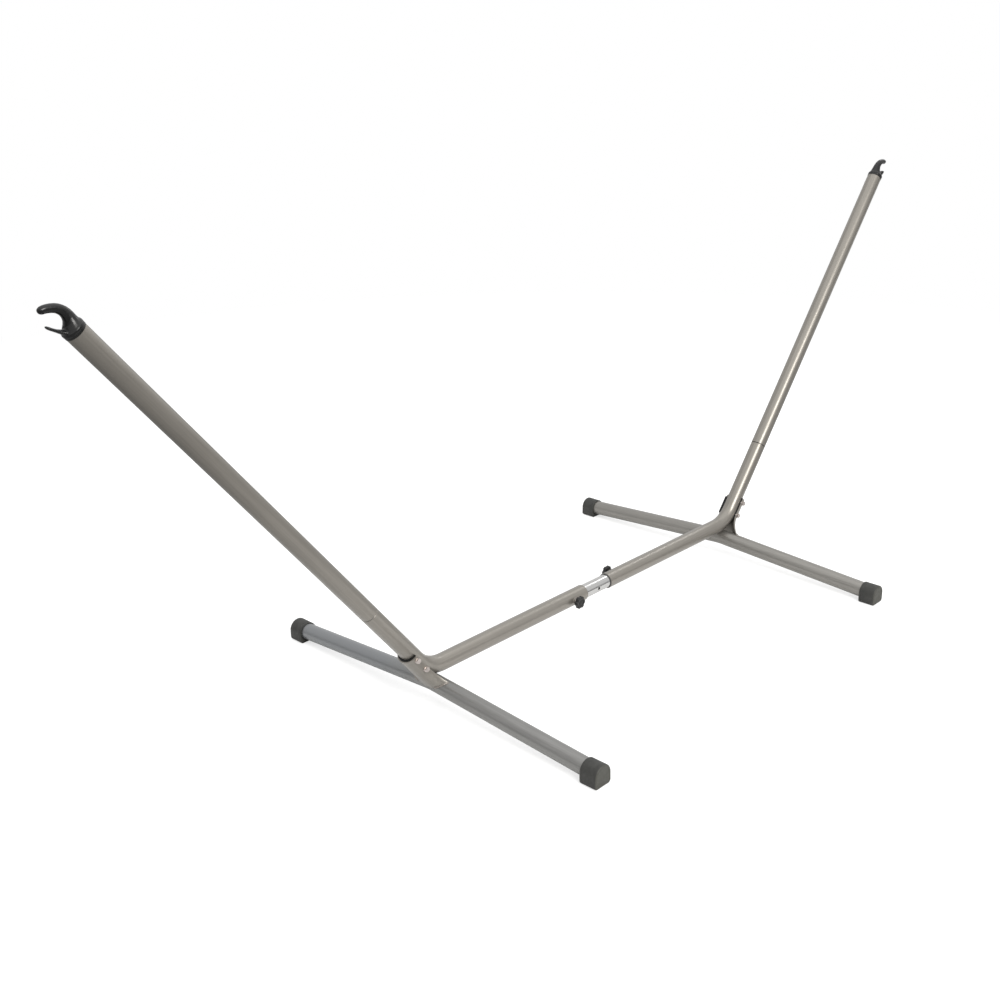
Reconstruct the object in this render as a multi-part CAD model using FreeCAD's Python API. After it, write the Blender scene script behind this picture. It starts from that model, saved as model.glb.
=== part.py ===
import FreeCAD, Part

import os
from math import cos, degrees, pi, radians, sin, sqrt, tan

from FreeCAD import Placement, Rotation, Vector

# Free-standing steel hammock stand. The origin is on the floor under the middle of the telescopic
# beam, +X runs along the beam to the right-hand arm, +Y across it, +Z up. Millimetres.

# Round steel tube used for the crossbars, elbows and arms
TUBE_R = 24.0
WALL = 1.5
BORE_R = TUBE_R - WALL

# Crossbars: shallow roof shape, highest under the beam
CROSSBAR_X = 671.0
CROSSBAR_HALF = 582.0
CROSSBAR_SLOPE = radians(3.66)
CROSSBAR_END_Z = 29.0
CROSSBAR_BEND_R = 250.0
CROSSBAR_APEX_Z = CROSSBAR_END_Z + CROSSBAR_HALF * tan(CROSSBAR_SLOPE)
CROSSBAR_MID_Z = CROSSBAR_APEX_Z - CROSSBAR_BEND_R * (1 / cos(CROSSBAR_SLOPE) - 1)

# Foot caps pushed over the crossbar ends
CAP_HALF = 29.5
CAP_CORNER_R = 9.0
CAP_START = 538.0
CAP_LENGTH = 51.0
CAP_END_ROUND = 7.0
CAP_MOUTH_ROUND = 1.5

# Elbow tubes: horizontal beam half bent up into the arm, resting across the crossbar
ELBOW_X = 692.5
ELBOW_BEND_R = 120.0
ARM_ANGLE = radians(51.5)
BEAM_REST_GAP = 44.5
BEAM_Z = CROSSBAR_MID_Z + BEAM_REST_GAP
SEAM = 295.0
SEAM_GAP = 0.6
SEAM_LIP = 0.9

# Upper arms: swaged spigot in the elbow, hook at the far end
ARM_END = 1359.5
SPIGOT_LENGTH = 62.0
SPIGOT_R = BORE_R - 0.06
SWAGE_LENGTH = 14.0

# Telescopic middle: inner tube sliding in both elbow tubes through plastic bushes
MOUTH_X = 54.0
BUSH_FLANGE = 1.5
BUSH_FLANGE_R = TUBE_R - 0.8
BUSH_LENGTH = 35.0
EXTENSION_R = 21.0
EXTENSION_HALF = 330.0
EXTENSION_WALL = 1.5
RUNNING = 0.06
INDEX_HOLE_R = 4.5
INDEX_COUNT = 5
GLIDE_R = BORE_R - 0.1
GLIDE_LENGTH = 14.0
GLIDE_PLUG_LENGTH = 16.0

# Lock screws: one knob on the front of the left tube, one on the back of the right tube
KNOB_X = 112.0
INDEX_PITCH = KNOB_X / 2
STUD_R = 4.0
STUD_TIP = EXTENSION_R + 0.3
STUD_OUTER = 41.0
BOSS_R = 9.0
BOSS_TOP = 28.0
WASHER_R = 9.5
WASHER_BOTTOM = 28.3
WASHER_TOP = 29.8
HUB_BOTTOM = 30.0
HUB_R = 7.8
HEAD_BOTTOM = 34.0
HEAD_TOP = 46.0
HEAD_R = 18.8
HEAD_ROUND = 2.5
LOBES = 6
LOBE_CUT_R = 9.0
LOBE_CUT_DEPTH = 2.6

# Saddles: pressed half-pipes welded to the crossbars, bolted through the rising end of the elbow
SADDLE_IN_R = 29.5
SADDLE_SHEET = 3.0
SADDLE_OUT_R = SADDLE_IN_R + SADDLE_SHEET
SADDLE_TOP = 96.0
SADDLE_BOTTOM = -52.0
FLARE_START = 33.0
FLARE_WIDTH = 58.2
SADDLE_SECTIONS = 16
SECTION_POINTS = 13

# Plastic liner between the saddle and the elbow tube
LINER_IN_R = TUBE_R + 0.1
LINER_OUT_R = SADDLE_IN_R - 0.25
LINER_START = 22.0
LINER_END = SADDLE_TOP + 2.2

# Through bolts of the saddles, M8: heads on shaped washers at the front, thin nuts held in an
# oblong plastic plate at the back
BOLT_ALONG = (36.5, 82.5)
BOLT_DROP = -7.5
BOLT_R = 4.0
BOLT_HOLE_R = 4.2
HEX_AF = 13.0
HEAD_SEAT = -33.2
HEAD_END = -38.5
SHAPED_WASHER_R = 7.8
SHAPED_WASHER_DEPTH = 5.0
NUT_SEAT = 33.0
NUT_END = 36.7
BOLT_REACH = 60.0
PLATE_LENGTH = 63.0
PLATE_WIDTH = 16.5
PLATE_OUTER = 37.5
PLATE_CORNER = 5.0
PLATE_EDGE = 1.6
PLATE_SEAT_R = SADDLE_OUT_R + 0.25
WASHER_SEAT_R = SADDLE_OUT_R + 0.15

# Hooks: moulded over a spigot that plugs into the arm, distances from the elbow vertex
RING_END = 1370.0
RING_R = 24.6
HOOK_SPIGOT_R = 22.4
HOOK_SPIGOT_START = 1310.0
HOOK_SPIGOT_BORE = 15.0
HOOK_BASE_R = 23.8
HOOK_BASE_END = 1375.0
HOOK_BASE_ROUND = 3.5
THROAT_ALONG = 1366.5
THROAT_DROP = -5.0
THROAT_R = 15.5
# (along the arm, off its axis, radius, tilt of the axis in degrees)
HORN = ((1371.0, 9.6, 13.8, 0), (1386.5, 11.6, 11.9, 0), (1401.0, 11.6, 10.6, -9),
        (1414.5, 7.8, 9.6, -28), (1425.0, -0.8, 9.0, -46), (1432.5, -10.0, 8.6, -60),
        (1436.0, -16.0, 8.3, -68))
HORN_TIP_R = 8.5
# (along the arm, off its axis, half thickness, half width)
TONGUE = ((1369.0, -13.0, 8.0, 15.0), (1380.0, -20.0, 4.4, 12.0), (1393.0, -27.4, 2.7, 9.4),
          (1403.0, -31.6, 2.0, 8.4), (1408.0, -33.3, 1.4, 6.0))
TONGUE_ANGLE = -24.0

# Retaining screw of each hook, self-tapping, in the side of the arm
SCREW_ALONG = 1337.0
SCREW_R = 2.4
SCREW_HEAD_R = 4.6
SCREW_HEAD = 2.2
SCREW_REACH = 12.0

X_AXIS = Vector(1, 0, 0)
Y_AXIS = Vector(0, 1, 0)
Z_AXIS = Vector(0, 0, 1)
ARM_DIR = Vector(cos(ARM_ANGLE), 0, sin(ARM_ANGLE))
ARM_NORMAL = Vector(-sin(ARM_ANGLE), 0, cos(ARM_ANGLE))


def on_arm(along, normal=0.0, across=0.0):
    """Point at a distance along the right arm from the elbow vertex, off its axis and across it."""
    vertex = Vector(ELBOW_X, across, BEAM_Z)
    return vertex + ARM_DIR * along + ARM_NORMAL * normal


def rod(radius, start, end):
    return Part.makeCylinder(radius, (end - start).Length, start, end - start)


def bent_rod(start, corner, end, bend_radius, radius):
    """Solid round bar from start to end with one tangent bend at the corner."""
    first = (corner - start).normalize()
    last = (end - corner).normalize()
    turn = first.getAngle(last)
    axis = first.cross(last).normalize()
    tangent = bend_radius * tan(turn / 2)
    bend_start = corner - first * tangent
    bend_end = corner + last * tangent
    centre = bend_start + axis.cross(first) * bend_radius
    disc = Part.Face(Part.Wire(Part.makeCircle(radius, bend_start, first)))
    bend = disc.revolve(centre, axis, degrees(turn))
    return rod(radius, start, bend_start).fuse([bend, rod(radius, bend_end, end)]).removeSplitter()


def turned(profile, origin, axis):
    """Solid of revolution of (radius, height) points, its height axis laid along the given axis."""
    points = [Vector(radius, 0, height) for radius, height in profile]
    face = Part.Face(Part.makePolygon(points + points[:1]))
    solid = face.revolve(Vector(0, 0, 0), Z_AXIS, 360)
    solid.Placement = Placement(origin, Rotation(Z_AXIS, axis))
    return solid


def hexagon_bar(across_flats, start, end):
    direction = (end - start).normalize()
    side = direction.cross(ARM_DIR).normalize()
    corner = across_flats / sqrt(3)
    other = direction.cross(side)
    points = [start + side * corner * cos(k * pi / 3) + other * corner * sin(k * pi / 3)
              for k in range(7)]
    return Part.Face(Part.makePolygon(points)).extrude(end - start)


def mirrored(shape):
    return shape.mirror(Vector(0, 0, 0), X_AXIS)


def turned_about(shape):
    """The same shape turned half a turn about the vertical axis."""
    copy = shape.copy()
    copy.rotate(Vector(0, 0, 0), Z_AXIS, 180)
    return copy


def crossbar_rod(radius):
    start = Vector(CROSSBAR_X, -CROSSBAR_HALF, CROSSBAR_END_Z)
    corner = Vector(CROSSBAR_X, 0, CROSSBAR_APEX_Z)
    end = Vector(CROSSBAR_X, CROSSBAR_HALF, CROSSBAR_END_Z)
    return bent_rod(start, corner, end, CROSSBAR_BEND_R, radius)


def crossbar():
    return crossbar_rod(TUBE_R).cut(crossbar_rod(BORE_R))


def foot_cap():
    """Cap on the +Y end of the right crossbar: round top, flat square sole, closed outer end."""
    low = CAP_CORNER_R
    corner = CAP_CORNER_R * (1 - sqrt(0.5))
    left, right = CROSSBAR_X - CAP_HALF, CROSSBAR_X + CAP_HALF

    def at(x, z):
        return Vector(x, CAP_START, z)

    outline = Part.Wire([
        Part.Arc(at(left, CAP_HALF), at(CROSSBAR_X, 2 * CAP_HALF), at(right, CAP_HALF)).toShape(),
        Part.makeLine(at(right, CAP_HALF), at(right, low)),
        Part.Arc(at(right, low), at(right - corner, corner), at(right - low, 0)).toShape(),
        Part.makeLine(at(right - low, 0), at(left + low, 0)),
        Part.Arc(at(left + low, 0), at(left + corner, corner), at(left, low)).toShape(),
        Part.makeLine(at(left, low), at(left, CAP_HALF)),
    ])
    body = Part.Face(outline).extrude(Y_AXIS * CAP_LENGTH)
    far = [e for e in body.Edges if e.BoundBox.YMin > CAP_START + CAP_LENGTH - 0.1]
    body = body.makeFillet(CAP_END_ROUND, far)
    near = [e for e in body.Edges if e.BoundBox.YMax < CAP_START + 0.1]
    body = body.makeFillet(CAP_MOUTH_ROUND, near)
    return body.cut(crossbar_rod(TUBE_R))


def elbow_rod(radius, start_x, end_along):
    start = Vector(start_x, 0, BEAM_Z)
    corner = Vector(ELBOW_X, 0, BEAM_Z)
    return bent_rod(start, corner, on_arm(end_along), ELBOW_BEND_R, radius)


def bolt_bars(radius, start, end):
    """The two bolt axes as bars between two distances across the arm."""
    return [rod(radius, on_arm(a, BOLT_DROP, start), on_arm(a, BOLT_DROP, end)) for a in BOLT_ALONG]


def bolt_holes():
    return bolt_bars(BOLT_HOLE_R, -BOLT_REACH, BOLT_REACH)


def elbow(knob_side):
    tube = elbow_rod(TUBE_R, MOUTH_X + BUSH_FLANGE, SEAM)
    tube = tube.cut(elbow_rod(BORE_R, MOUTH_X, SEAM + 1))
    knob_hole = rod(STUD_R + 0.4, Vector(KNOB_X, 0, BEAM_Z), Vector(KNOB_X, knob_side * BOSS_TOP, BEAM_Z))
    lip = turned([(TUBE_R, SEAM - SEAM_LIP), (TUBE_R + 1, SEAM - SEAM_LIP), (TUBE_R + 1, SEAM + 1),
                  (TUBE_R - SEAM_LIP, SEAM + 1), (TUBE_R - SEAM_LIP, SEAM)], on_arm(0), ARM_DIR)
    return tube.cut([knob_hole, lip] + bolt_holes())


def upper_arm():
    shoulder = SEAM + SEAM_GAP
    bottom = SEAM - SPIGOT_LENGTH
    swage = shoulder + SWAGE_LENGTH
    profile = [(SPIGOT_R, bottom), (SPIGOT_R, shoulder), (TUBE_R - SEAM_LIP, shoulder),
               (TUBE_R, shoulder + SEAM_LIP), (TUBE_R, ARM_END), (BORE_R, ARM_END), (BORE_R, swage),
               (SPIGOT_R - WALL, shoulder), (SPIGOT_R - WALL, bottom)]
    arm = turned(profile, on_arm(0), ARM_DIR)
    return arm.cut(rod(SCREW_R, on_arm(SCREW_ALONG), on_arm(SCREW_ALONG, 0, TUBE_R + 1)))


def saddle_section(along, half_width, depth):
    """Half-oval across the arm, open towards the arm, closed by a straight chord."""
    points = []
    for k in range(SECTION_POINTS):
        angle = pi * k / (SECTION_POINTS - 1)
        points.append(on_arm(along, -depth * sin(angle), half_width * cos(angle)))
    curve = Part.BSplineCurve()
    curve.interpolate(points)
    return Part.Wire([curve.toShape(), Part.makeLine(points[-1], points[0])])


def saddle_skin(radius, top, bottom):
    """Solid inside the saddle's skin: straight under the arm, flared sideways at the crossbar."""
    sections = []
    for k in range(SADDLE_SECTIONS):
        along = top + (bottom - top) * k / (SADDLE_SECTIONS - 1)
        flare = max(0.0, (FLARE_START - along) / (FLARE_START - SADDLE_BOTTOM))
        sections.append(saddle_section(along, radius + FLARE_WIDTH * flare ** 2, radius))
    return Part.makeLoft(sections, True)


def saddle():
    outer = saddle_skin(SADDLE_OUT_R, SADDLE_TOP, SADDLE_BOTTOM)
    inner = saddle_skin(SADDLE_IN_R, SADDLE_TOP, SADDLE_BOTTOM)
    cutters = [inner, crossbar_rod(TUBE_R)] + bolt_holes()
    return largest_solid(outer.cut(cutters))


def largest_solid(shape):
    return max(shape.Solids, key=lambda solid: solid.Volume)


def below_arm_axis(start, end):
    """Box on the outer side of the plane through the arm's axis, between two stations."""
    size = 2 * PLATE_LENGTH
    box = Part.makeBox(end - start, 2 * size, size, Vector(0, -size, -size))
    box.Placement = Placement(on_arm(start), Rotation(Y_AXIS, -degrees(ARM_ANGLE)))
    return box


def saddle_liner():
    """Half sleeve lining the saddle, its edge standing a little above the saddle's rim."""
    sleeve = rod(LINER_OUT_R, on_arm(LINER_START), on_arm(LINER_END))
    sleeve = sleeve.cut(rod(LINER_IN_R, on_arm(LINER_START), on_arm(LINER_END)))
    return sleeve.common(below_arm_axis(LINER_START, LINER_END)).cut(bolt_holes())


def clamp_bolts():
    bolts = []
    for along in BOLT_ALONG:
        seat = on_arm(along, BOLT_DROP, HEAD_SEAT)
        shank = rod(BOLT_R, seat, on_arm(along, BOLT_DROP, NUT_END))
        head = hexagon_bar(HEX_AF, on_arm(along, BOLT_DROP, HEAD_END), seat)
        bolts.append(shank.fuse(head).removeSplitter())
    return Part.makeCompound(bolts)


def clamp_nuts():
    nuts = []
    for along in BOLT_ALONG:
        seat, end = on_arm(along, BOLT_DROP, NUT_SEAT), on_arm(along, BOLT_DROP, NUT_END)
        nuts.append(hexagon_bar(HEX_AF, seat, end).cut(rod(BOLT_R, seat, end)))
    return Part.makeCompound(nuts)


def clamp_plate():
    """Oblong plastic block seated on the round saddle, with the nuts and bolt ends let into it."""
    middle = sum(BOLT_ALONG) / 2
    block = Part.makeBox(PLATE_LENGTH, PLATE_OUTER - TUBE_R, PLATE_WIDTH,
                         Vector(-PLATE_LENGTH / 2, TUBE_R, -PLATE_WIDTH / 2))
    upright = [e for e in block.Edges if abs(e.tangentAt(e.FirstParameter).y) > 0.9]
    block = block.makeFillet(PLATE_CORNER, upright)
    outer = [e for e in block.Edges if e.BoundBox.YMin > PLATE_OUTER - 0.1]
    block = block.makeFillet(PLATE_EDGE, outer)
    block.Placement = Placement(on_arm(middle, BOLT_DROP), Rotation(Y_AXIS, -degrees(ARM_ANGLE)))
    seat = saddle_skin(PLATE_SEAT_R, SADDLE_TOP, SADDLE_BOTTOM)
    return block.cut([seat] + clamp_bolts().Solids + clamp_nuts().Solids)


def shaped_washers():
    """Round washers under the bolt heads, hollowed to sit on the round saddle."""
    cutters = bolt_holes() + [saddle_skin(WASHER_SEAT_R, SADDLE_TOP, SADDLE_BOTTOM)]
    discs = bolt_bars(SHAPED_WASHER_R, HEAD_SEAT, HEAD_SEAT + SHAPED_WASHER_DEPTH)
    return Part.makeCompound([disc.cut(cutters) for disc in discs])


def extension_bush():
    """Flanged plastic bush in the mouth of the right elbow tube."""
    profile = [(EXTENSION_R + RUNNING, 0), (BUSH_FLANGE_R, 0), (BUSH_FLANGE_R, BUSH_FLANGE),
               (BORE_R - 0.02, BUSH_FLANGE), (BORE_R - 0.02, BUSH_LENGTH),
               (EXTENSION_R + RUNNING, BUSH_LENGTH)]
    return turned(profile, Vector(MOUTH_X, 0, BEAM_Z), X_AXIS)


def extension_tube():
    """Inner tube with a row of index holes on the front for the left half and the back for the right."""
    start, end = Vector(-EXTENSION_HALF, 0, BEAM_Z), Vector(EXTENSION_HALF, 0, BEAM_Z)
    tube = rod(EXTENSION_R, start, end).cut(rod(EXTENSION_R - EXTENSION_WALL, start, end))
    holes = []
    for side in (-1, 1):
        for k in range(INDEX_COUNT):
            centre = Vector(side * k * INDEX_PITCH, 0, BEAM_Z)
            holes.append(rod(INDEX_HOLE_R, centre, centre + Y_AXIS * side * (EXTENSION_R + 1)))
    return tube.cut(holes)


def extension_glide():
    """Plastic end plug of the inner tube, its rim running in the bore of the right elbow tube."""
    inner_r = EXTENSION_R - EXTENSION_WALL
    profile = [(inner_r - 2.0, -GLIDE_PLUG_LENGTH), (inner_r, -GLIDE_PLUG_LENGTH), (inner_r, 0),
               (GLIDE_R, 0), (GLIDE_R, GLIDE_LENGTH), (inner_r - 2.0, GLIDE_LENGTH)]
    return turned(profile, Vector(EXTENSION_HALF, 0, BEAM_Z), X_AXIS)


def knob_point(out):
    """Point on the axis of the lock screw on the back of the right tube."""
    return Vector(KNOB_X, out, BEAM_Z)


def weld_boss():
    """Round threaded boss welded on the outer tube."""
    blank = rod(BOSS_R, knob_point(0), knob_point(BOSS_TOP))
    beam = rod(TUBE_R, Vector(MOUTH_X, 0, BEAM_Z), Vector(2 * KNOB_X, 0, BEAM_Z))
    return blank.cut([beam, rod(STUD_R + 0.05, knob_point(0), knob_point(BOSS_TOP))])


def lock_washer():
    return rod(WASHER_R, knob_point(WASHER_BOTTOM), knob_point(WASHER_TOP)).cut(
        rod(STUD_R + 0.1, knob_point(WASHER_BOTTOM), knob_point(WASHER_TOP)))


def lock_stud():
    return rod(STUD_R, knob_point(STUD_TIP), knob_point(STUD_OUTER))


def lock_knob():
    """Lobed plastic head on a short hub."""
    head = rod(HEAD_R, knob_point(HEAD_BOTTOM), knob_point(HEAD_TOP))
    scallops = []
    for k in range(LOBES):
        angle = 2 * pi * (k + 0.5) / LOBES
        off = HEAD_R + LOBE_CUT_R - LOBE_CUT_DEPTH
        shift = Vector(cos(angle) * off, 0, sin(angle) * off)
        scallops.append(rod(LOBE_CUT_R, knob_point(HEAD_BOTTOM) + shift, knob_point(HEAD_TOP) + shift))
    head = head.cut(scallops)
    rims = [e for e in head.Edges if e.BoundBox.YLength < 0.1]
    head = head.makeFillet(HEAD_ROUND, rims)
    hub = rod(HUB_R, knob_point(HUB_BOTTOM), knob_point(HEAD_BOTTOM + 1))
    return head.fuse(hub).removeSplitter().cut(lock_stud())


def hook_ring():
    return rod(RING_R, on_arm(ARM_END), on_arm(RING_END)).cut(
        rod(HOOK_SPIGOT_R + 0.02, on_arm(ARM_END), on_arm(RING_END)))


def horn_section(along, normal, radius, tilt):
    angle = radians(tilt)
    direction = ARM_DIR * cos(angle) + ARM_NORMAL * sin(angle)
    return Part.Wire(Part.makeCircle(radius, on_arm(along, normal), direction))


def tongue_section(along, normal, half_thickness, half_width):
    angle = radians(TONGUE_ANGLE)
    across = on_arm(along, normal, half_width)
    upright = on_arm(along, normal) + (ARM_NORMAL * cos(angle) - ARM_DIR * sin(angle)) * half_thickness
    return Part.Wire(Part.Ellipse(across, upright, on_arm(along, normal)).toShape())


def hook():
    """Round horn curling outwards over a thin tongue, on a base disc with a hollow spigot."""
    base = rod(HOOK_BASE_R, on_arm(RING_END), on_arm(HOOK_BASE_END))
    rim = [e for e in base.Edges if e.Length > 100 and e.BoundBox.ZMax > base.BoundBox.ZMax - 1]
    base = base.makeFillet(HOOK_BASE_ROUND, rim)
    throat = Part.makeSphere(THROAT_R, on_arm(THROAT_ALONG, THROAT_DROP))
    horn = Part.makeLoft([horn_section(*row) for row in HORN], True)
    tip = Part.makeSphere(HORN_TIP_R, on_arm(HORN[-1][0], HORN[-1][1]))
    tongue = Part.makeLoft([tongue_section(*row) for row in TONGUE], True)
    spigot = rod(HOOK_SPIGOT_R, on_arm(HOOK_SPIGOT_START), on_arm(RING_END + 1))
    bore = rod(HOOK_SPIGOT_BORE, on_arm(HOOK_SPIGOT_START), on_arm(RING_END - 5))
    whole = base.fuse([throat, horn, tip, tongue, spigot]).cut([bore, hook_screw_shank(SCREW_R)])
    return largest_solid(whole)


def hook_screw_shank(radius):
    return rod(radius, on_arm(SCREW_ALONG, 0, TUBE_R - SCREW_REACH), on_arm(SCREW_ALONG, 0, TUBE_R + 0.5))


def hook_screw():
    head = rod(SCREW_HEAD_R, on_arm(SCREW_ALONG, 0, TUBE_R), on_arm(SCREW_ALONG, 0, TUBE_R + SCREW_HEAD))
    head = head.cut(rod(TUBE_R, on_arm(SCREW_ALONG - 9), on_arm(SCREW_ALONG + 9)))
    return head.fuse(hook_screw_shank(SCREW_R)).removeSplitter()


def save(name, shape):
    if not shape.isValid():
        raise ValueError(name + " is not a valid shape")
    shape.exportStep(os.path.join("parts", name + ".step"))
    print("%-26s solids %d  volume %10.0f mm3" % (name, len(shape.Solids), shape.Volume))


def save_pair(name, right_shape):
    """Mirror-image pieces of the two halves."""
    save(name + "_right", right_shape)
    save(name + "_left", mirrored(right_shape))


os.makedirs("parts", exist_ok=True)

save_pair("crossbar", crossbar())
back_cap = foot_cap()
save_pair("foot_cap_back", back_cap)
save_pair("foot_cap_front", back_cap.mirror(Vector(0, 0, 0), Y_AXIS))
save_pair("saddle", saddle())
save_pair("saddle_liner", saddle_liner())
save_pair("clamp_bolts", clamp_bolts())
save_pair("clamp_plate", clamp_plate())
save_pair("shaped_washers", shaped_washers())
save_pair("clamp_nuts", clamp_nuts())
save("elbow_tube_right", elbow(1))
save("elbow_tube_left", mirrored(elbow(-1)))
save_pair("extension_bush", extension_bush())
save_pair("upper_arm", upper_arm())
save_pair("hook_ring", hook_ring())
save_pair("hook", hook())
save_pair("hook_screw", hook_screw())
save("extension_tube", extension_tube())
save_pair("extension_glide", extension_glide())
for name, shape in (("weld_boss", weld_boss()), ("lock_washer", lock_washer()),
                    ("lock_stud", lock_stud()), ("lock_knob", lock_knob())):
    save(name + "_right", shape)
    save(name + "_left", turned_about(shape))
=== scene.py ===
from math import cos, pi, radians, sin, sqrt, tan

import bmesh
import bpy
from mathutils import Matrix, Vector


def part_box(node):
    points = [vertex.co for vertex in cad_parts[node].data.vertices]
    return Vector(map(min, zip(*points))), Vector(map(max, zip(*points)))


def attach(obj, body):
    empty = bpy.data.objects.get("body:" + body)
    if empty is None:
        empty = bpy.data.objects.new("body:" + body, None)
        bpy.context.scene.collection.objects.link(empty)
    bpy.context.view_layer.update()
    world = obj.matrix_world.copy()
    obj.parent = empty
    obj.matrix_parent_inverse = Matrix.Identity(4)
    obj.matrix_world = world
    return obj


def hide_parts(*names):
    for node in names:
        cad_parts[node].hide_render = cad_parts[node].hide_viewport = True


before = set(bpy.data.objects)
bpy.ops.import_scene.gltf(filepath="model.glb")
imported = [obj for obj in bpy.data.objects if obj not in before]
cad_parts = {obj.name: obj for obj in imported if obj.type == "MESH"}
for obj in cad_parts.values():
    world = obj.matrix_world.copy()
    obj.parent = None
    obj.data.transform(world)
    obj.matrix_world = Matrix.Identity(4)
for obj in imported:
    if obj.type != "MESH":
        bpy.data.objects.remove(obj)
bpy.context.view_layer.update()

MM = 0.001
SAME_POINT = 1e-7  # points closer than this, in metres, become one
SIDES = (("left", -1), ("right", 1))

# Camera: where it stands, which way it looks (from +Y towards +X), and its lens
CAMERA_AT = (-2.639, -2.1743, 1.6991)
CAMERA_YAW = radians(46.19)
CAMERA_PITCH = radians(-20.876)
CAMERA_ROLL = radians(-0.933)
CAMERA_LENS = 44.666
CAMERA_SENSOR = 36.0
CAMERA_SHIFT = (-0.0071, -0.0012)
CAMERA_REACH = 200.0

# The stand's own dimensions, in millimetres
TUBE_R = 24.0
ARM_ANGLE = radians(51.5)
ELBOW_X = 692.5
BEAM_Z = (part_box("extension_tube")[0][2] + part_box("extension_tube")[1][2]) / 2 / MM
CROSSBAR_X = 671.0
CROSSBAR_HALF = 582.0
CROSSBAR_END_Z = 29.0
CROSSBAR_SLOPE = radians(3.66)
CROSSBAR_BEND_R = 250.0
CAP_START = 538.0
CAP_HALF = 29.5
CAP_CORNER_R = 9.0
KNOB_X = 112.0
KNOB_R = 18.8
LOBES = 6
SCALLOP_R = 9.0
SCALLOP_DEPTH = 2.6
BOSS_R = 9.0
SEAM = 295.0
SEAM_GAP = 0.6
SADDLE_OUT_R = 32.5
SADDLE_BOTTOM = -52.0
FLARE_START = 33.0
FLARE_WIDTH = 58.2


def around(count):
    """Evenly spaced angles of one full turn."""
    return [2 * pi * k / count for k in range(count)]


def arm_axis(side):
    return Vector((side * cos(ARM_ANGLE), 0, sin(ARM_ANGLE)))


def on_arm(side, along, normal=0.0, across=0.0):
    """Point by its distance along an arm from the elbow vertex, off the arm's axis and across it."""
    x = ELBOW_X + along * cos(ARM_ANGLE) - normal * sin(ARM_ANGLE)
    return Vector((side * x, across, BEAM_Z + along * sin(ARM_ANGLE) + normal * cos(ARM_ANGLE)))


def crossbar_z(y):
    """Height of a crossbar's axis."""
    bend_half = CROSSBAR_BEND_R * sin(CROSSBAR_SLOPE)
    if abs(y) > bend_half:
        return CROSSBAR_END_Z + (CROSSBAR_HALF - abs(y)) * tan(CROSSBAR_SLOPE)
    shoulder = CROSSBAR_END_Z + (CROSSBAR_HALF - bend_half) * tan(CROSSBAR_SLOPE)
    return shoulder + sqrt(CROSSBAR_BEND_R ** 2 - y ** 2) - CROSSBAR_BEND_R * cos(CROSSBAR_SLOPE)


# ---------------------------------------------------------------- materials

class Nodes:
    """Short-hand for building a material's node tree."""

    def __init__(self, name):
        self.material = bpy.data.materials.new(name)
        self.material.use_nodes = True
        self.tree = self.material.node_tree
        self.shader = self.tree.nodes["Principled BSDF"]
        self.coords = self.tree.nodes.new("ShaderNodeTexCoord").outputs["Object"]

    def add(self, kind, inputs=None, **settings):
        node = self.tree.nodes.new(kind)
        for key, value in settings.items():
            setattr(node, key, value)
        for key, value in (inputs or {}).items():
            self.put(node.inputs[key], value)
        return node

    def put(self, socket, value):
        if isinstance(value, bpy.types.NodeSocket):
            self.tree.links.new(value, socket)
        else:
            socket.default_value = value

    def grain(self, direction, length, width):
        """Coordinates turned so that X lies along the grain, then divided by its length and width."""
        inputs = {"Vector": self.coords, "Rotation": direction, "Scale": (length, width, width)}
        return self.add("ShaderNodeMapping", inputs, vector_type="TEXTURE").outputs["Vector"]

    def noise(self, scale, detail=2.0, roughness=0.5, vector=None):
        inputs = {"Vector": vector or self.coords, "Scale": scale, "Detail": detail,
                  "Roughness": roughness}
        return self.add("ShaderNodeTexNoise", inputs).outputs["Fac"]

    def ramp(self, factor, *stops):
        """Grey ramp; each stop is a position and a grey."""
        node = self.add("ShaderNodeValToRGB", {"Fac": factor})
        elements = node.color_ramp.elements
        for element, (position, grey) in zip(elements, stops):
            element.position = position
            element.color = (grey, grey, grey, 1)
        return node.outputs["Color"]

    def between(self, value, low, high):
        """0 below low, 1 above high."""
        inputs = {"Value": value, "From Min": low, "From Max": high}
        return self.add("ShaderNodeMapRange", inputs).outputs["Result"]

    def coordinate(self, axis):
        """Distance from the origin along X, Y or Z."""
        return self.add("ShaderNodeSeparateXYZ", {"Vector": self.coords}).outputs[axis]

    def mix(self, factor, first, second):
        """First colour where factor is 0, second where it is 1."""
        node = self.add("ShaderNodeMix", data_type="RGBA")
        self.put(node.inputs["Factor"], factor)
        for key, value in (("A", first), ("B", second)):
            socket = [s for s in node.inputs if s.name == key and s.type == "RGBA"][0]
            self.put(socket, (*value, 1) if isinstance(value, tuple) else value)
        return [s for s in node.outputs if s.type == "RGBA"][0]

    def bump(self, height, strength, distance):
        inputs = {"Height": height, "Strength": strength, "Distance": distance}
        return self.add("ShaderNodeBump", inputs).outputs["Normal"]

    def finish(self, **sockets):
        """Sets the shader's sockets; an underscore stands for a space in their names."""
        for name, value in sockets.items():
            self.put(self.shader.inputs[name.replace("_", " ")], value)
        return self.material


# Directions of the drawing lines, as turns about X, Y and Z
ALONG_X = (0, 0, 0)
ALONG_Y = (0, 0, radians(90))
ALONG_ARM = {"left": (0, ARM_ANGLE, 0), "right": (0, -ARM_ANGLE, 0)}
ELBOW_RISE = (0.125, 0.155)  # between these heights the elbow tube's lines turn from beam to arm

ARM_TINT = (0.262, 0.245, 0.218)
# The left crossbar's tint is darker and cooler than the right's: the coating's own grey with painted
# shade and a painted bluish reflection in it
CROSSBAR_TINT_AND_PAINTED_SHADE = {"left": (0.226, 0.224, 0.216), "right": (0.250, 0.240, 0.222)}
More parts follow.
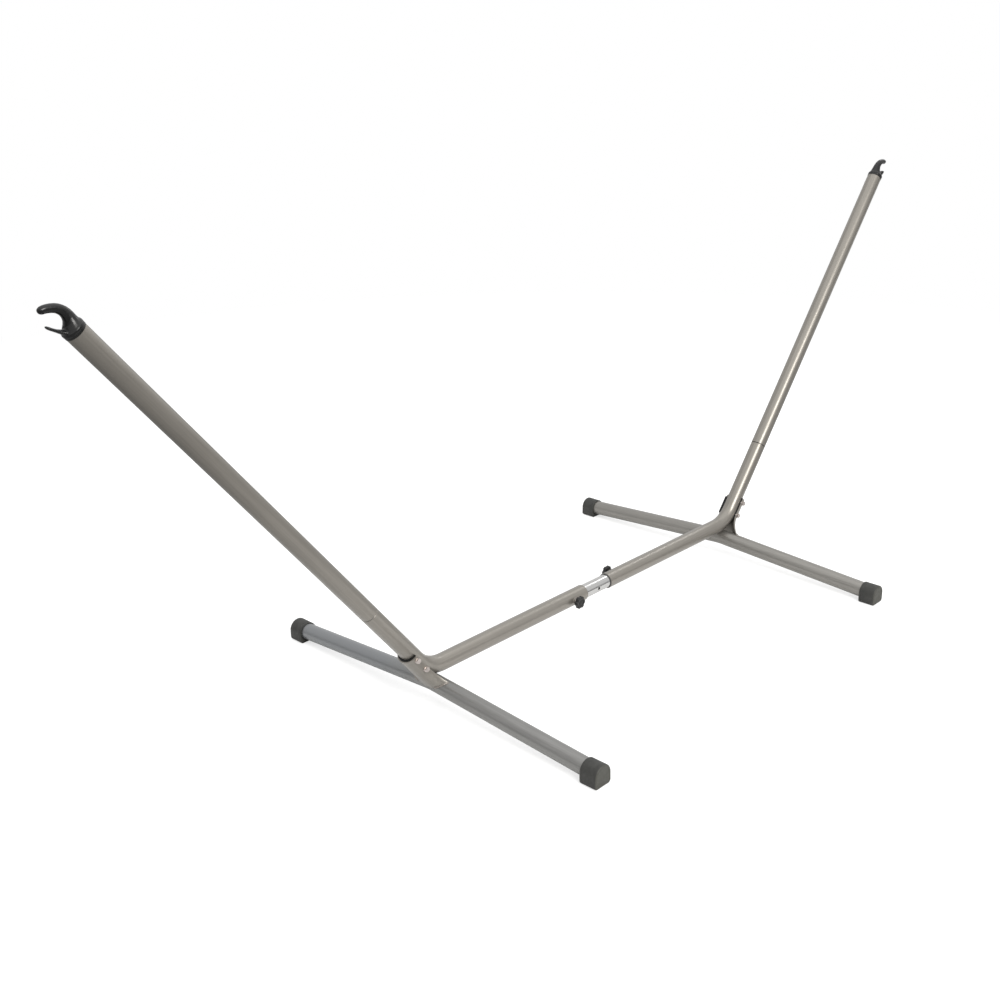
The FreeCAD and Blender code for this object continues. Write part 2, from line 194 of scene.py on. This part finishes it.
# Painted reflection: bluish grey painted over the back half of the left crossbar, standing in for a
# cool reflection of the room
PAINTED_BLUISH_REFLECTION = (0.222, 0.230, 0.238)
PAINTED_REFLECTION_START = (0.0, 0.2)  # the painted bluish reflection on the left crossbar's back half starts between these Y
# Painted shade in the joint between elbow tube and upper arm: faint on the left arm, whose joint
# closes tightly, a dark line on the right arm
SEAM_PAINTED_SHADE = {-1: (0.19, 0.177, 0.157), 1: (0.035, 0.030, 0.028)}
SEAM_EDGE = (0.0008, 0.0020)  # the joint's painted shade fades out between these distances from it
STEEL_METALLIC = 0.6
STEEL_COAT = 0.3
STEEL_COAT_ROUGHNESS = 0.2
WELD_TINT = (0.36, 0.32, 0.29)
FINE_GRAIN = 900.0
HOOK_GRAIN = 500.0
CAP_END_TINT = (0.056, 0.056, 0.047)
CAP_END = (0.5862, 0.5880)  # the paler end of a foot cap starts between these distances from Y = 0


def shade(tint, factor):
    """The tint made darker or lighter."""
    return tuple(min(1.0, c * factor) for c in tint)


def seam_shadow(n, side):
    """Mask of the painted shade: 1 in the narrow joint between an elbow tube and its upper arm, 0 away
    from it.
    """
    station = (on_arm(side, 0).dot(arm_axis(side)) + SEAM + SEAM_GAP / 2) * MM
    along = n.add("ShaderNodeVectorMath", {0: n.coords, 1: arm_axis(side)}, operation="DOT_PRODUCT")
    off = n.add("ShaderNodeMath", {0: along.outputs["Value"], 1: station}, operation="SUBTRACT")
    away = n.add("ShaderNodeMath", {0: off.outputs["Value"]}, operation="ABSOLUTE").outputs["Value"]
    return n.ramp(n.between(away, *SEAM_EDGE), (0.0, 1.0), (1.0, 0.0))


def drawing_lines(n, direction):
    """Fine long lines left by drawing the tube."""
    return n.noise(3.0, 4.0, 0.6, n.grain(direction, 0.7, 0.011))


def coated_steel(name, tint, direction, arm_direction=None, seam_side=0, painted_reflection_back=False):
    """Semi-gloss warm grey metallic coating with faint drawing lines along the tube and cloudy stains;
    optionally with a painted bluish reflection, and with painted shade at the arm joint.
    """
    n = Nodes(name)
    lines = drawing_lines(n, direction)
    if arm_direction:
        arm_lines = drawing_lines(n, arm_direction)
        lines = n.mix(n.between(n.coordinate("Z"), *ELBOW_RISE), lines, arm_lines)
    clouds = n.noise(7.0, 3.0, 0.6)
    base = n.mix(n.ramp(lines, (0.3, 0.0), (0.7, 1.0)), shade(tint, 0.90), shade(tint, 1.08))
    stains_and_painted_light = n.mix(n.ramp(clouds, (0.35, 0.0), (0.75, 0.3)), base, shade(tint, 0.84))
    # painted reflection: the left crossbar's back half turns bluish grey
    if painted_reflection_back:
        stains_and_painted_light = n.mix(n.between(n.coordinate("Y"), *PAINTED_REFLECTION_START), stains_and_painted_light, PAINTED_BLUISH_REFLECTION)
    # painted shade in the joint between elbow tube and upper arm
    if seam_side:
        stains_and_painted_light = n.mix(seam_shadow(n, seam_side), stains_and_painted_light, SEAM_PAINTED_SHADE[seam_side])
    drawn = n.bump(lines, 0.02, 0.0006)
    rough = n.ramp(n.noise(22.0, 2.0), (0.3, 0.32), (0.7, 0.38))
    return n.finish(Base_Color=stains_and_painted_light, Roughness=rough, Normal=drawn, Metallic=STEEL_METALLIC,
                    Coat_Weight=STEEL_COAT, Coat_Roughness=STEEL_COAT_ROUGHNESS)


def weld_metal(name):
    """Coated weld bead: the same finish over a rippled, spattered surface."""
    n = Nodes(name)
    spatter = n.noise(420.0, 4.0, 0.65)
    base = n.mix(spatter, shade(ARM_TINT, 0.75), WELD_TINT)
    rough = n.ramp(n.noise(160.0, 3.0), (0.3, 0.34), (0.7, 0.50))
    return n.finish(Base_Color=base, Roughness=rough, Normal=n.bump(spatter, 0.5, 0.0006),
                    Metallic=STEEL_METALLIC, Coat_Weight=STEEL_COAT,
                    Coat_Roughness=STEEL_COAT_ROUGHNESS)


def bright_steel(name, tint, rough_low, rough_high):
    """Bare plated metal with lines along X and slight clouding."""
    n = Nodes(name)
    lines = n.noise(4.0, 4.0, 0.6, n.grain(ALONG_X, 0.5, 0.010))
    clouds = n.noise(30.0, 3.0, 0.6)
    streaked = n.mix(n.ramp(lines, (0.32, 0.0), (0.6, 1.0)), shade(tint, 0.72), tint)
    base = n.mix(clouds, shade(tint, 0.85), streaked)
    rough = n.ramp(lines, (0.3, rough_low), (0.75, rough_high))
    return n.finish(Base_Color=base, Roughness=rough, Metallic=1.0,
                    Normal=n.bump(lines, 0.04, 0.0004))


def moulded_plastic(name, tint, rough_low, rough_high, grain, gloss=0.5, end_tint=None):
    """Dark moulded plastic; with end_tint, the outer ends of the crossbars' caps are paler."""
    n = Nodes(name)
    clouds = n.noise(55.0, 3.0, 0.6)
    base = n.mix(n.ramp(clouds, (0.35, 0.0), (0.7, 1.0)), shade(tint, 0.8), shade(tint, 1.3))
    if end_tint:
        out = n.add("ShaderNodeMath", {0: n.coordinate("Y")}, operation="ABSOLUTE").outputs["Value"]
        base = n.mix(n.between(out, *CAP_END), base, end_tint)
    rough = n.ramp(n.noise(120.0, 3.0), (0.3, rough_low), (0.7, rough_high))
    grained = n.bump(n.noise(grain, 2.0), 0.15, 0.0003)
    return n.finish(Base_Color=base, Roughness=rough, Normal=grained, Specular_IOR_Level=gloss)


def make_materials():
    steel = {"boss": coated_steel("steel_boss", ARM_TINT, ALONG_X)}
    for side, sign in SIDES:
        steel[side + "_bar"] = coated_steel("steel_%s_bar" % side, CROSSBAR_TINT_AND_PAINTED_SHADE[side], ALONG_Y,
                                            painted_reflection_back=side == "left")
        steel[side + "_arm"] = coated_steel("steel_%s_arm" % side, ARM_TINT, ALONG_ARM[side],
                                            seam_side=sign)
        steel[side + "_elbow"] = coated_steel("steel_%s_elbow" % side, ARM_TINT, ALONG_X,
                                              arm_direction=ALONG_ARM[side], seam_side=sign)
    return {
        **steel,
        "weld": weld_metal("weld_bead"),
        "chrome": bright_steel("chrome_tube", (0.68, 0.675, 0.665), 0.15, 0.26),
        "zinc": bright_steel("zinc_fasteners", (0.66, 0.60, 0.57), 0.26, 0.40),
        "foot": moulded_plastic("foot_plastic", (0.028, 0.028, 0.0255), 0.45, 0.62, FINE_GRAIN,
                                end_tint=CAP_END_TINT),
        "black": moulded_plastic("black_plastic", (0.008, 0.008, 0.008), 0.42, 0.58, FINE_GRAIN,
                                 gloss=0.3),
        "bush": moulded_plastic("bush_plastic", (0.07, 0.07, 0.068), 0.42, 0.58, FINE_GRAIN),
        "knob": moulded_plastic("knob_plastic", (0.012, 0.012, 0.012), 0.35, 0.5, FINE_GRAIN,
                                gloss=0.4),
        "hook": moulded_plastic("hook_plastic", (0.007, 0.0072, 0.0070), 0.20, 0.32, HOOK_GRAIN,
                                gloss=0.45),
    }


def dress_cad_nodes(materials):
    """Materials in the slots of the CAD nodes, by each node's name."""
    by_stem = {
        "foot_cap_back": "foot", "foot_cap_front": "foot", "saddle_liner": "black",
        "clamp_bolts": "zinc", "clamp_plate": "black", "shaped_washers": "zinc", "clamp_nuts": "zinc",
        "extension_bush": "bush", "hook_ring": "hook", "hook": "hook", "hook_screw": "zinc",
        "extension_glide": "black", "weld_boss": "boss", "lock_washer": "zinc", "lock_stud": "zinc",
        "lock_knob": "knob",
    }
    for node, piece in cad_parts.items():
        stem, side = node.rsplit("_", 1)
        if node == "extension_tube":
            key = "chrome"
        elif stem in ("saddle", "upper_arm"):
            key = side + "_arm"
        elif stem == "elbow_tube":
            key = side + "_elbow"
        elif stem == "crossbar":
            key = side + "_bar"
        else:
            key = by_stem[stem]
        for slot in piece.material_slots:
            slot.material = materials[key]


EDGE_ROUNDING = 0.0007


def round_fastener_edges():
    """Rounded edges on the hexagon heads, nuts, washers and screw bosses."""
    for side, _ in SIDES:
        for stem in ("clamp_bolts", "clamp_nuts", "shaped_washers", "lock_washer", "weld_boss"):
            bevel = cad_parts[stem + "_" + side].modifiers.new("edges", "BEVEL")
            bevel.width = EDGE_ROUNDING
            bevel.segments = 2
            bevel.limit_method = "ANGLE"
            bevel.angle_limit = radians(40)


# ---------------------------------------------------------------- pieces

def loft(rings, caps=True):
    """Skin over rings of equally many points, closed at both ends or left open."""
    count = len(rings[0])
    points = [point for ring in rings for point in ring]
    faces = []
    for r in range(len(rings) - 1):
        for k in range(count):
            a, b = r * count + k, r * count + (k + 1) % count
            faces.append((a, b, b + count, a + count))
    if caps:
        faces.append(tuple(range(count)))
        faces.append(tuple(range(len(points) - count, len(points))))
    return points, faces


def add_piece(name, skins, material, body, replaced=(), crease=40):
    """One visible piece from one or more skins in millimetres, riding on a body."""
    points, faces = [], []
    for skin_points, skin_faces in skins:
        faces += [tuple(len(points) + index for index in face) for face in skin_faces]
        points += [Vector(point) * MM for point in skin_points]
    mesh = bpy.data.meshes.new(name)
    mesh.from_pydata(points, [], faces)
    shape = bmesh.new()
    shape.from_mesh(mesh)
    bmesh.ops.remove_doubles(shape, verts=shape.verts, dist=SAME_POINT)
    bmesh.ops.recalc_face_normals(shape, faces=shape.faces)
    for face in shape.faces:
        face.smooth = True
    shape.to_mesh(mesh)
    shape.free()
    mesh.set_sharp_from_angle(angle=radians(crease))
    mesh.materials.append(material)
    piece = bpy.data.objects.new(name, mesh)
    bpy.context.scene.collection.objects.link(piece)
    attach(piece, body)
    if replaced:
        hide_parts(*replaced)
    return piece


# (along the arm, off its axis, radius, tilt of the axis in degrees): collar, trumpet root, curl
HORN = ((1364.4, 0.0, 24.2, 0), (1365.0, 0.0, 25.1, 0), (1370.2, 0.0, 25.1, 0), (1371.4, 0.2, 24.2, 0),
        (1372.6, 0.8, 22.6, 0), (1374.6, 1.8, 21.2, 0), (1378.0, 3.8, 18.8, 0),
        (1383.0, 7.0, 15.8, 0), (1389.0, 10.0, 13.4, 0), (1396.0, 11.3, 11.8, -5),
        (1403.0, 11.2, 10.8, -11), (1409.5, 9.4, 10.2, -20), (1415.5, 6.8, 9.7, -30),
        (1421.0, 3.0, 9.3, -39), (1426.0, -2.0, 9.0, -48), (1430.5, -7.4, 8.7, -56),
        (1434.0, -12.6, 8.4, -64), (1436.2, -17.4, 8.0, -70),
        (1437.6, -21.0, 6.6, -73), (1438.4, -23.4, 4.4, -75), (1438.8, -24.5, 2.0, -75))
# (along the arm, off its axis, half thickness, half width)
TONGUE = ((1364.0, -8.0, 12.0, 17.5), (1369.0, -13.0, 8.6, 15.6), (1374.5, -16.8, 6.2, 13.8),
          (1380.0, -20.2, 4.7, 12.2), (1386.5, -24.0, 3.7, 10.8), (1393.0, -27.4, 3.2, 9.9),
          (1399.0, -30.2, 3.2, 9.3), (1404.0, -32.2, 3.1, 8.6), (1407.5, -33.4, 2.4, 7.0),
          (1409.2, -33.9, 1.2, 4.0))
TONGUE_TILT = radians(-24)
HOOK_STEPS = 48
HOOK_VOXEL = 0.0008
HOOK_SMOOTHING = 12


def horn_rings(side):
    """Round sections of the collar and horn; side is -1 or 1."""
    rings = []
    for along, normal, radius, tilt in HORN:
        tilt = radians(tilt)
        rings.append([on_arm(side, along - radius * cos(a) * sin(tilt),
                             normal + radius * cos(a) * cos(tilt), radius * sin(a))
                      for a in around(HOOK_STEPS)])
    return rings


def tongue_rings(side):
    """Oval sections of the tongue; side is -1 or 1."""
    rings = []
    for along, normal, thick, wide in TONGUE:
        rings.append([on_arm(side, along - thick * cos(a) * sin(TONGUE_TILT),
                             normal + thick * cos(a) * cos(TONGUE_TILT), wide * sin(a))
                      for a in around(HOOK_STEPS)])
    return rings


def make_hook(side, sign, material):
    """Horn and tongue run into one moulding, with soft fillets between them."""
    hook = add_piece("moulded_hook_" + side, [loft(horn_rings(sign)), loft(tongue_rings(sign))],
                     material, side + "_arm", ["hook_" + side])
    skin = hook.modifiers.new("one_skin", "REMESH")
    skin.mode = "VOXEL"
    skin.voxel_size = HOOK_VOXEL
    skin.use_smooth_shade = True
    soft = hook.modifiers.new("fillets", "SMOOTH")
    soft.factor = 0.5
    soft.iterations = HOOK_SMOOTHING


# (distance from the screw's axis, distance out from the tube's axis, share of the lobes' shape)
KNOB_PROFILE = ((4.1, 30.6, 0), (4.4, 30.0, 0), (7.2, 30.0, 0), (7.8, 30.6, 0), (7.8, 33.4, 0),
                (8.6, 34.2, 0), (13.0, 34.0, 0.5), (16.4, 34.0, 0.8), (17.8, 34.6, 0.95),
                (18.6, 35.7, 1), (18.8, 37.2, 1), (18.8, 42.8, 1), (18.6, 44.3, 1),
                (17.8, 45.4, 0.95), (16.4, 46.0, 0.8), (13.4, 46.1, 0.5), (11.8, 45.8, 0.15),
                (11.1, 45.1, 0), (10.6, 44.4, 0), (7.2, 44.3, 0), (6.7, 44.8, 0), (6.2, 45.2, 0),
                (3.5, 45.5, 0), (1.0, 45.6, 0))
KNOB_STEPS = 180


def lobe_cut(angle):
    """Depth of the scallops between the lobes."""
    off = KNOB_R + SCALLOP_R - SCALLOP_DEPTH
    nearest = (angle * LOBES / (2 * pi)) % 1.0 - 0.5
    turn = nearest * 2 * pi / LOBES
    inside = SCALLOP_R ** 2 - (off * sin(turn)) ** 2
    return max(0.0, KNOB_R - off * cos(turn) + sqrt(inside)) if inside > 0 else 0.0


def make_knob(side, sign, material):
    """Round hub that swells into lobes, with a raised ring and a domed middle on its face."""
    rings = []
    for radius, out, lobed in KNOB_PROFILE:
        ring = []
        for angle in around(KNOB_STEPS):
            r = radius - lobed * lobe_cut(angle)
            ring.append(Vector((sign * KNOB_X + r * cos(angle), sign * out, BEAM_Z + r * sin(angle))))
        rings.append(ring)
    add_piece("lobed_knob_" + side, [loft(rings)], material, side + "_lock_screw",
              ["lock_knob_" + side])


def cap_reach(angle):
    """Distance from a cap's centre to its round top, or its square lower half with rounded corners."""
    x, z = abs(cos(angle)), sin(angle)
    if z >= 0:
        return CAP_HALF
    flat = CAP_HALF - CAP_CORNER_R
    if x * CAP_HALF >= -z * CAP_HALF and -z * CAP_HALF / x <= flat:
        return CAP_HALF / x
    if x * CAP_HALF / -z <= flat:
        return CAP_HALF / -z
    along = flat * (x - z)
    return along + sqrt(along ** 2 - 2 * flat ** 2 + CAP_CORNER_R ** 2)


# (distance into the mouth, radius) of the bore that grips the tube
CAP_BORE = ((14.0, 23.9), (0.8, 24.05), (0.2, 24.6))
# (distance from the mouth, inset from the outline): shallow groove behind the mouth, rounded outer
# end with a panel let in a little
CAP_ROWS = ((0.0, 1.6), (0.3, 0.7), (1.5, 0.0), (6.5, 0.0), (6.9, 0.5), (8.1, 0.5), (8.5, 0.0),
            (30.0, 0.0), (46.5, 0.0), (48.3, 0.35), (49.7, 1.3), (50.65, 2.7), (51.0, 4.5),
            (51.0, 7.0), (50.7, 7.4), (50.4, 7.8), (50.4, 24.0))
CAP_STEPS = 144
CAP_CREASE = 32  # edges sharper than this many degrees stay crisp


def make_cap(side, sign, place, facing, material):
    """Foot cap: flat sole, round top, and a bore in line with the crossbar's end."""
    angles = around(CAP_STEPS)
    rings = []
    for depth, radius in CAP_BORE:
        y = CAP_START + depth
        rings.append([Vector((sign * CROSSBAR_X + radius * cos(a), facing * y,
                              crossbar_z(y) + radius * sin(a))) for a in angles])
    for depth, inset in CAP_ROWS:
        y = CAP_START + depth
        rings.append([Vector((sign * CROSSBAR_X + (cap_reach(a) - inset) * cos(a), facing * y,
                              CAP_HALF + (cap_reach(a) - inset) * sin(a))) for a in angles])
    add_piece("moulded_cap_%s_%s" % (place, side), [loft(rings)], material, side + "_half",
              ["foot_cap_%s_%s" % (place, side)], crease=CAP_CREASE)


BEAD_STEPS = 14
BEAD_UP = Vector((0.3, 0.2, 1.0))  # no bead runs this way, so each ring can start square to it


def bead_swell(k):
    """How thick the bead is at its point k: regular ripples and a slower unevenness."""
    return 0.86 + 0.22 * abs(sin(k * 0.62)) + 0.07 * sin(k * 1.7)


def bead(path, radius, closed=False):
    """Rippled weld bead along a path of closely spaced points."""
    last = len(path) - 1
    rings = []
    for k, point in enumerate(path):
        before = path[k - 1] if k or closed else path[0]
        after = path[(k + 1) % len(path)] if k < last or closed else path[last]
        along = (after - before).normalized()
        across = BEAD_UP.cross(along).normalized()
        upright = along.cross(across)
        taper = 1.0 if closed else min(1.0, 0.35 + 0.22 * min(k, last - k))
        r = radius * bead_swell(k) * taper
        rings.append([point + (across * cos(a) + upright * sin(a)) * r for a in around(BEAD_STEPS)])
    if closed:
        rings.append(rings[0])
    return loft(rings, caps=not closed)


def evenly(points, step):
    """The same path with points every step millimetres."""
    result = [points[0]]
    for point in points[1:]:
        while (point - result[-1]).length > step:
            result.append(result[-1] + (point - result[-1]).normalized() * step)
    return result


EDGE_STEPS = 180
EDGE_TOLERANCE = 0.5
HALVINGS = 40


def saddle_edge(sign):
    """Where the outer face of the saddle meets the crossbar, from front to back, found by halving."""
    path = []
    for k in range(EDGE_STEPS + 1):
        angle = pi * k / EDGE_STEPS
        low, high = SADDLE_BOTTOM, 0.0
        for _ in range(HALVINGS):
            along = (low + high) / 2
            flare = max(0.0, (FLARE_START - along) / (FLARE_START - SADDLE_BOTTOM))
            point = on_arm(sign, along, -SADDLE_OUT_R * sin(angle),
                           -(SADDLE_OUT_R + FLARE_WIDTH * flare ** 2) * cos(angle))
            reach = Vector((point.x - sign * CROSSBAR_X, 0, point.z - crossbar_z(point.y))).length
            if reach > TUBE_R:
                high = along
            else:
                low = along
        if abs(reach - TUBE_R) < EDGE_TOLERANCE:
            path.append(point)
    return path


WELD_FROM = 30.0  # the saddles' beads start this far from the stand's middle plane
WELD_STEP = 1.1
SADDLE_BEAD_R = 3.0
BOSS_WELD_R = BOSS_R + 0.3
BOSS_WELD_STEPS = 60
BOSS_BEAD_R = 1.3


def make_welds(materials):
    """Beads at the flared ends of each saddle and round each screw boss."""
    for side, sign in SIDES:
        edge = evenly(saddle_edge(sign), WELD_STEP)
        ends = [[point for point in edge if facing * point.y > WELD_FROM] for facing in (-1, 1)]
        add_piece("saddle_welds_" + side, [bead(path, SADDLE_BEAD_R) for path in ends],
                  materials["weld"], side + "_half")
        ring = []
        for angle in around(BOSS_WELD_STEPS):
            z = BOSS_WELD_R * sin(angle)
            ring.append(Vector((sign * KNOB_X + BOSS_WELD_R * cos(angle),
                                sign * sqrt(TUBE_R ** 2 - z ** 2), BEAM_Z + z)))
        add_piece("boss_weld_" + side, [bead(ring, BOSS_BEAD_R, closed=True)], materials["weld"],
                  side + "_half")


def make_pieces(materials):
    """Everything that is finer than the CAD nodes, or not in them."""
    for side, sign in SIDES:
        make_hook(side, sign, materials["hook"])
        make_knob(side, sign, materials["knob"])
        for place, facing in (("front", -1), ("back", 1)):
            make_cap(side, sign, place, facing, materials["foot"])
    make_welds(materials)


# ---------------------------------------------------------------- stage

WHITE = (1.0, 1.0, 1.0)
FLOOR_RADIUS = 60.0
FLOOR_SIDES = 96
FLOOR_FADE = (2.2, 5.0)  # the floor turns from lit to glowing between these distances
NEAR_FLOOR = (0.9, 1.6)  # what the stand reflects of the floor darkens between these distances
NEAR_GREY, FAR_GREY = 0.80, 0.28
SEEN_FLOOR = (0.50, 0.50, 0.50)
SEEN_GLOW = (0.64, 0.64, 0.64)
BRIGHT_SIDE = (0.7071, 0.7071, 0.0)  # direction of the room's brightest wall
BRIGHT_HORIZON = 1.0
DIM_HORIZON = 0.3
CEILING = 0.85
CEILING_RISE = (0.05, 0.4)
SKIRTING = 0.12  # dark band where the reflected floor meets the reflected room
SKIRTING_REACH = (7.0, 14.0)
SKIRTING_RISE = (0.02, 0.10)

# (name, place, size, watts, colour) of the lamps, which all face the middle of the stand
LAMPS = (("key", (-1.6, -5.2, 4.2), (3.2, 2.2), 262, (1.0, 0.98, 0.95)),
         ("overhead", (0.0, 0.0, 5.5), (8.0, 6.0), 90, WHITE),
         ("window", (5.8, 0.6, 5.0), (1.4, 1.4), 26, WHITE))
LAMP_TARGET = Vector((0.0, 0.0, 0.3))


def make_camera():
    forward = Vector((sin(CAMERA_YAW) * cos(CAMERA_PITCH), cos(CAMERA_YAW) * cos(CAMERA_PITCH),
                      sin(CAMERA_PITCH)))
    level = Vector((cos(CAMERA_YAW), -sin(CAMERA_YAW), 0))
    above = level.cross(forward)
    right = level * cos(CAMERA_ROLL) + above * sin(CAMERA_ROLL)
    up = above * cos(CAMERA_ROLL) - level * sin(CAMERA_ROLL)
    data = bpy.data.cameras.new("camera")
    data.lens = CAMERA_LENS
    data.sensor_width = CAMERA_SENSOR
    data.shift_x, data.shift_y = CAMERA_SHIFT
    data.clip_end = CAMERA_REACH
    camera = bpy.data.objects.new("camera", data)
    bpy.context.scene.collection.objects.link(camera)
    turn = Matrix((right, up, -forward)).transposed().to_4x4()
    camera.matrix_world = Matrix.Translation(CAMERA_AT) @ turn
    bpy.context.scene.camera = camera


def make_floor():
    """White floor for the camera; for light and reflections it is greyer, and dark far away."""
    mesh = bpy.data.meshes.new("floor")
    shape = bmesh.new()
    bmesh.ops.create_circle(shape, cap_ends=True, radius=FLOOR_RADIUS, segments=FLOOR_SIDES)
    shape.to_mesh(mesh)
    shape.free()
    floor = bpy.data.objects.new("floor", mesh)
    bpy.context.scene.collection.objects.link(floor)
    n = Nodes("pale_floor")
    camera_ray = n.add("ShaderNodeLightPath").outputs["Is Camera Ray"]
    reach = n.add("ShaderNodeVectorMath", {0: n.coords}, operation="LENGTH").outputs["Value"]
    near = n.ramp(n.between(reach, *NEAR_FLOOR), (0.0, NEAR_GREY), (1.0, FAR_GREY))
    n.finish(Base_Color=n.mix(camera_ray, near, SEEN_FLOOR), Roughness=0.9, Specular_IOR_Level=0.1,
             Emission_Color=n.mix(camera_ray, (0.0, 0.0, 0.0), SEEN_GLOW), Emission_Strength=1.0)
    heading = n.add("ShaderNodeVectorMath", {0: n.coords}, operation="NORMALIZE").outputs["Vector"]
    away = n.add("ShaderNodeVectorMath", {0: heading, 1: BRIGHT_SIDE}, operation="DOT_PRODUCT")
    far = n.ramp(n.between(away.outputs["Value"], -1.0, 1.0), (0.0, DIM_HORIZON),
                 (1.0, BRIGHT_HORIZON))
    far = n.mix(n.between(reach, *SKIRTING_REACH), far, (SKIRTING, SKIRTING, SKIRTING))
    glow = n.add("ShaderNodeEmission", {"Color": n.mix(camera_ray, far, WHITE)})
    blend = n.add("ShaderNodeMixShader", {0: n.between(reach, *FLOOR_FADE),
                                          1: n.shader.outputs["BSDF"],
                                          2: glow.outputs["Emission"]})
    output = n.tree.nodes["Material Output"]
    n.tree.links.new(blend.outputs["Shader"], output.inputs["Surface"])
    n.material.cycles.emission_sampling = "NONE"
    mesh.materials.append(n.material)


def make_world():
    """White backdrop for the camera; for light and reflections a room brighter on one side."""
    world = bpy.data.worlds.new("studio")
    bpy.context.scene.world = world
    world.use_nodes = True
    world.cycles.sampling_method = "NONE"
    tree = world.node_tree

    def add(kind, source=None):
        node = tree.nodes.new(kind)
        if source is not None:
            tree.links.new(source, node.inputs[0])
        return node

    heading = add("ShaderNodeTexCoord").outputs["Generated"]
    away = add("ShaderNodeVectorMath", heading)
    away.operation = "DOT_PRODUCT"
    away.inputs[1].default_value = BRIGHT_SIDE
    horizon = add("ShaderNodeMapRange", away.outputs["Value"])
    height = add("ShaderNodeSeparateXYZ", heading).outputs["Z"]
    rise, low = add("ShaderNodeMapRange", height), add("ShaderNodeMapRange", height)
    for node, values in ((horizon, (-1.0, 1.0, DIM_HORIZON, BRIGHT_HORIZON)),
                         (rise, (*CEILING_RISE, 0.0, 1.0)), (low, (*SKIRTING_RISE, 0.0, 1.0))):
        for key, value in zip(("From Min", "From Max", "To Min", "To Max"), values):
            node.inputs[key].default_value = value
    walls = add("ShaderNodeMix", rise.outputs["Result"])
    tree.links.new(horizon.outputs["Result"], walls.inputs["A"])
    walls.inputs["B"].default_value = CEILING
    above_skirting = add("ShaderNodeMix", low.outputs["Result"])
    above_skirting.inputs["A"].default_value = SKIRTING
    tree.links.new(walls.outputs["Result"], above_skirting.inputs["B"])
    room = tree.nodes["Background"]
    tree.links.new(above_skirting.outputs["Result"], room.inputs["Strength"])
    backdrop = add("ShaderNodeBackground")
    for background in (room, backdrop):
        background.inputs["Color"].default_value = (*WHITE, 1)
    mix = add("ShaderNodeMixShader", add("ShaderNodeLightPath").outputs["Is Camera Ray"])
    tree.links.new(room.outputs[0], mix.inputs[1])
    tree.links.new(backdrop.outputs[0], mix.inputs[2])
    tree.links.new(mix.outputs[0], tree.nodes["World Output"].inputs["Surface"])


def softbox(name, at, size, watts, colour):
    data = bpy.data.lights.new(name, "AREA")
    data.shape = "RECTANGLE"
    data.size, data.size_y = size
    data.energy = watts
    data.color = colour
    light = bpy.data.objects.new(name, data)
    bpy.context.scene.collection.objects.link(light)
    turn = (LAMP_TARGET - Vector(at)).to_track_quat("-Z", "Y").to_matrix().to_4x4()
    light.matrix_world = Matrix.Translation(at) @ turn


def set_colours():
    view = bpy.context.scene.view_settings
    view.view_transform = "Standard"
    view.look = "None"
    view.exposure = 0.0
    view.gamma = 1.0


make_camera()
make_world()
make_floor()
for lamp in LAMPS:
    softbox(*lamp)
set_colours()
MATERIALS = make_materials()
dress_cad_nodes(MATERIALS)
round_fastener_edges()
make_pieces(MATERIALS)
